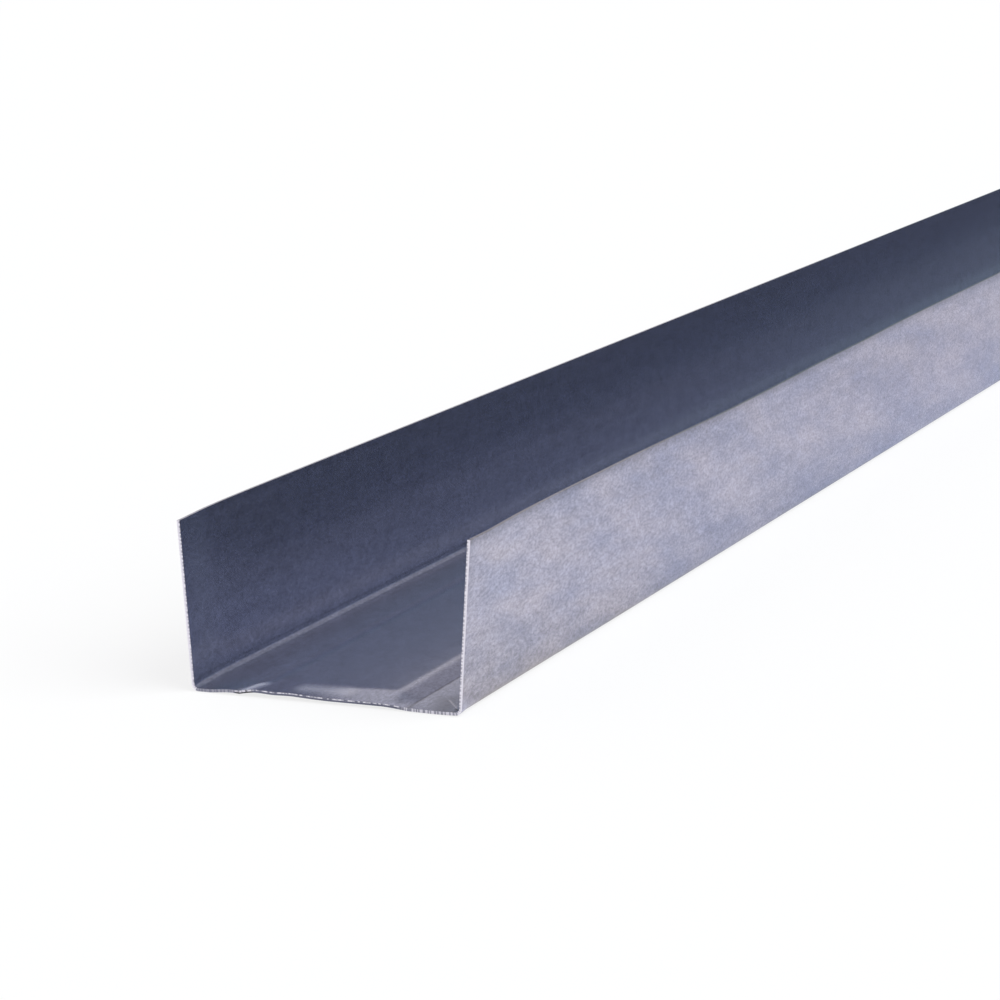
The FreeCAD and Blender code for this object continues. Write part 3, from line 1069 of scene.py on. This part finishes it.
def white_sweep(near_end):
    """Matt white paper floor.

    The camera sees it glow nearly white, and the steel mirrors it in painted shade: darker close beside
    the right leg, farther out on the right, and farther from the near end.
    """
    glow_share = 0.8
    material, tree = new_material("floor_white_sweep")
    rays = add_node(tree, "ShaderNodeLightPath")
    mirrored = add_node(
        tree,
        "ShaderNodeMath",
        {0: rays["Is Glossy Ray"], 1: rays["Is Transmission Ray"]},
        operation="MAXIMUM",
    )[0]
    share = add_node(
        tree, "ShaderNodeMath", {0: rays["Is Camera Ray"], 1: glow_share}, operation="MULTIPLY"
    )[0]
    place = add_node(tree, "ShaderNodeTexCoord")["Object"]
    aside, along, _ = add_node(tree, "ShaderNodeSeparateXYZ", {0: place})

    away = add_node(
        tree,
        "ShaderNodeMapRange",
        {
            "Value": along,
            "From Min": near_end + OPEN_FLOOR_RANGE[0],
            "From Max": near_end + OPEN_FLOOR_RANGE[1],
        },
    )[0]
    near_tone, far_tone = [(*linear(tone), 1) for tone in OPEN_FLOOR_SHADE_TONES]
    open_floor_shade = add_node(
        tree, "ShaderNodeMix", {0: away, 6: near_tone, 7: far_tone}, data_type="RGBA"
    )[2]

    part = add_node(
        tree,
        "ShaderNodeMapRange",
        {"Value": along, "From Min": near_end, "From Max": near_end + CLOSE_FLOOR_STRETCH},
    )[0]
    close_floor_shadow = add_node(tree, "ShaderNodeValToRGB", {0: part})[0]
    set_stops(close_floor_shadow.node.color_ramp.elements, CLOSE_FLOOR_SHADOW_TONES)
    close = add_node(
        tree,
        "ShaderNodeMapRange",
        {
            "Value": aside,
            "From Min": CLOSE_FLOOR_ASIDE[0],
            "From Max": CLOSE_FLOOR_ASIDE[1],
            "To Min": 1.0,
            "To Max": 0.0,
        },
    )[0]
    behind = add_node(
        tree,
        "ShaderNodeMapRange",
        {"Value": along, "From Min": near_end, "From Max": near_end + CLOSE_FLOOR_START},
    )[0]
    close = add_node(tree, "ShaderNodeMath", {0: close, 1: behind}, operation="MULTIPLY")[0]
    shaded = add_node(
        tree, "ShaderNodeMix", {0: close, 6: open_floor_shade, 7: close_floor_shadow}, data_type="RGBA"
    )[2]

    outer = add_node(
        tree,
        "ShaderNodeMapRange",
        {"Value": aside, "From Min": OUTER_FLOOR_ASIDE[0], "From Max": OUTER_FLOOR_ASIDE[1]},
    )[0]
    outer = add_node(
        tree,
        "ShaderNodeMix",
        {0: outer, 6: (*linear(WHITE), 1), 7: (*linear(OUTER_FLOOR_SHADE_TONE), 1)},
        data_type="RGBA",
    )[2]
    shaded = add_node(tree, "ShaderNodeVectorMath", {0: shaded, 1: outer}, operation="MULTIPLY")[0]
    # Only mirrored rays see the painted shade; other rays see the floor evenly pale
    level = add_node(
        tree, "ShaderNodeMix", {0: mirrored, 6: (*linear("F9F9F9"), 1), 7: shaded}, data_type="RGBA"
    )[2]
    matt = add_node(tree, "ShaderNodeBsdfDiffuse", {"Color": level})[0]
    glow = add_node(tree, "ShaderNodeEmission", {"Color": (*linear(WHITE), 1), "Strength": 1.0})[0]
    both = add_node(tree, "ShaderNodeMixShader", {0: share, 1: matt, 2: glow})[0]
    add_node(tree, "ShaderNodeOutputMaterial", {"Surface": both})
    return material


def studio_room():
    """A cool backdrop low down, a dim room above it, and a warm bright wall behind on the left.

    The camera sees plain white instead.
    """
    world = bpy.data.worlds.new("white_studio")
    world.use_nodes = True
    tree = world.node_tree
    tree.nodes.clear()
    towards = add_node(tree, "ShaderNodeTexCoord")["Generated"]
    aside, _, height = add_node(tree, "ShaderNodeSeparateXYZ", {0: towards})
    room = add_node(tree, "ShaderNodeValToRGB", {0: height})[0]
    tones = [(math.sin(math.radians(degrees)), tone) for degrees, tone in ROOM_TONES]
    set_stops(room.node.color_ramp.elements, tones)
    wall = add_node(
        tree,
        "ShaderNodeMapRange",
        {
            "Value": aside,
            "From Min": WALL_ASIDE[0],
            "From Max": WALL_ASIDE[1],
            "To Min": 1.0,
            "To Max": 0.0,
        },
    )[0]
    seen = add_node(
        tree, "ShaderNodeMix", {0: wall, 6: room, 7: (*linear(WALL_TONE), 1)}, data_type="RGBA"
    )[2]
    direct = add_node(tree, "ShaderNodeLightPath")["Is Camera Ray"]
    seen = add_node(
        tree, "ShaderNodeMix", {0: direct, 6: seen, 7: (*linear(WHITE), 1)}, data_type="RGBA"
    )[2]
    sky = add_node(tree, "ShaderNodeBackground", {"Color": seen, "Strength": 1.0})[0]
    add_node(tree, "ShaderNodeOutputWorld", {"Surface": sky})
    return world


class TRACK_OT_set_stage(bpy.types.Operator):
    """Set the pale floor, the soft light and the camera"""

    bl_idname = "track.set_stage"
    bl_label = "Set the stage"

    def execute(self, context):
        scene = context.scene
        scene.view_settings.view_transform = "Standard"
        near_end = -scene.track_sizes.track_length / 2

        # A wide white floor, just under the track
        half = 60.0
        depth = -0.1 * MM
        mesh = bpy.data.meshes.new("floor")
        corners = [(x * half, y * half, depth) for x, y in ((-1, -1), (1, -1), (1, 1), (-1, 1))]
        mesh.from_pydata(corners, [], [(0, 1, 2, 3)])
        mesh.materials.append(white_sweep(near_end))
        floor = bpy.data.objects.new("floor", mesh)
        scene.collection.objects.link(floor)

        scene.world = studio_room()
        lamp = bpy.data.lights.new("overhead", "SUN")
        lamp.energy = 2.6
        lamp.color = linear("F9FDFF")
        lamp.angle = math.radians(60)
        overhead = bpy.data.objects.new("overhead", lamp)
        overhead.rotation_euler = (0.0, math.radians(45), 0.0)
        scene.collection.objects.link(overhead)

        data = bpy.data.cameras.new("camera")
        data.sensor_width = 36.0
        data.lens = VIEW_LENS
        data.clip_start = 0.01
        data.clip_end = 300.0
        camera = bpy.data.objects.new("camera", data)
        turn = Matrix.Rotation(math.radians(VIEW_TURN), 4, "Z")
        tip = Matrix.Rotation(math.radians(VIEW_TIP), 4, "X")
        roll = Matrix.Rotation(math.radians(VIEW_ROLL), 4, "Z")
        place = Matrix.Translation(Vector(VIEW_PLACE) + Vector((0, near_end, 0)))
        camera.matrix_world = place @ turn @ tip @ roll
        scene.collection.objects.link(camera)
        scene.camera = camera
        return {"FINISHED"}


class TRACK_PT_sidebar(bpy.types.Panel):
    """The track's sizes, finish and steps"""

    bl_label = "Drywall track"
    bl_idname = "TRACK_PT_sidebar"
    bl_space_type = "VIEW_3D"
    bl_region_type = "UI"
    bl_category = "Track"

    def draw(self, context):
        layout = self.layout
        for group in (context.scene.track_sizes, context.scene.track_finish):
            for name in group.__annotations__:
                layout.prop(group, name)
        layout.operator(TRACK_OT_roll_sheet.bl_idname)
        layout.operator(TRACK_OT_set_stage.bl_idname)


CLASSES = (TrackSizes, TrackFinish, TRACK_OT_roll_sheet, TRACK_OT_set_stage, TRACK_PT_sidebar)


def register():
    for cls in CLASSES:
        bpy.utils.register_class(cls)
    bpy.types.Scene.track_sizes = PointerProperty(type=TrackSizes)
    bpy.types.Scene.track_finish = PointerProperty(type=TrackFinish)


def unregister():
    del bpy.types.Scene.track_finish
    del bpy.types.Scene.track_sizes
    for cls in reversed(CLASSES):
        bpy.utils.unregister_class(cls)


def main():
    register()
    bpy.ops.track.roll_sheet()
    bpy.ops.track.set_stage()


if __name__ == "__main__":
    main()
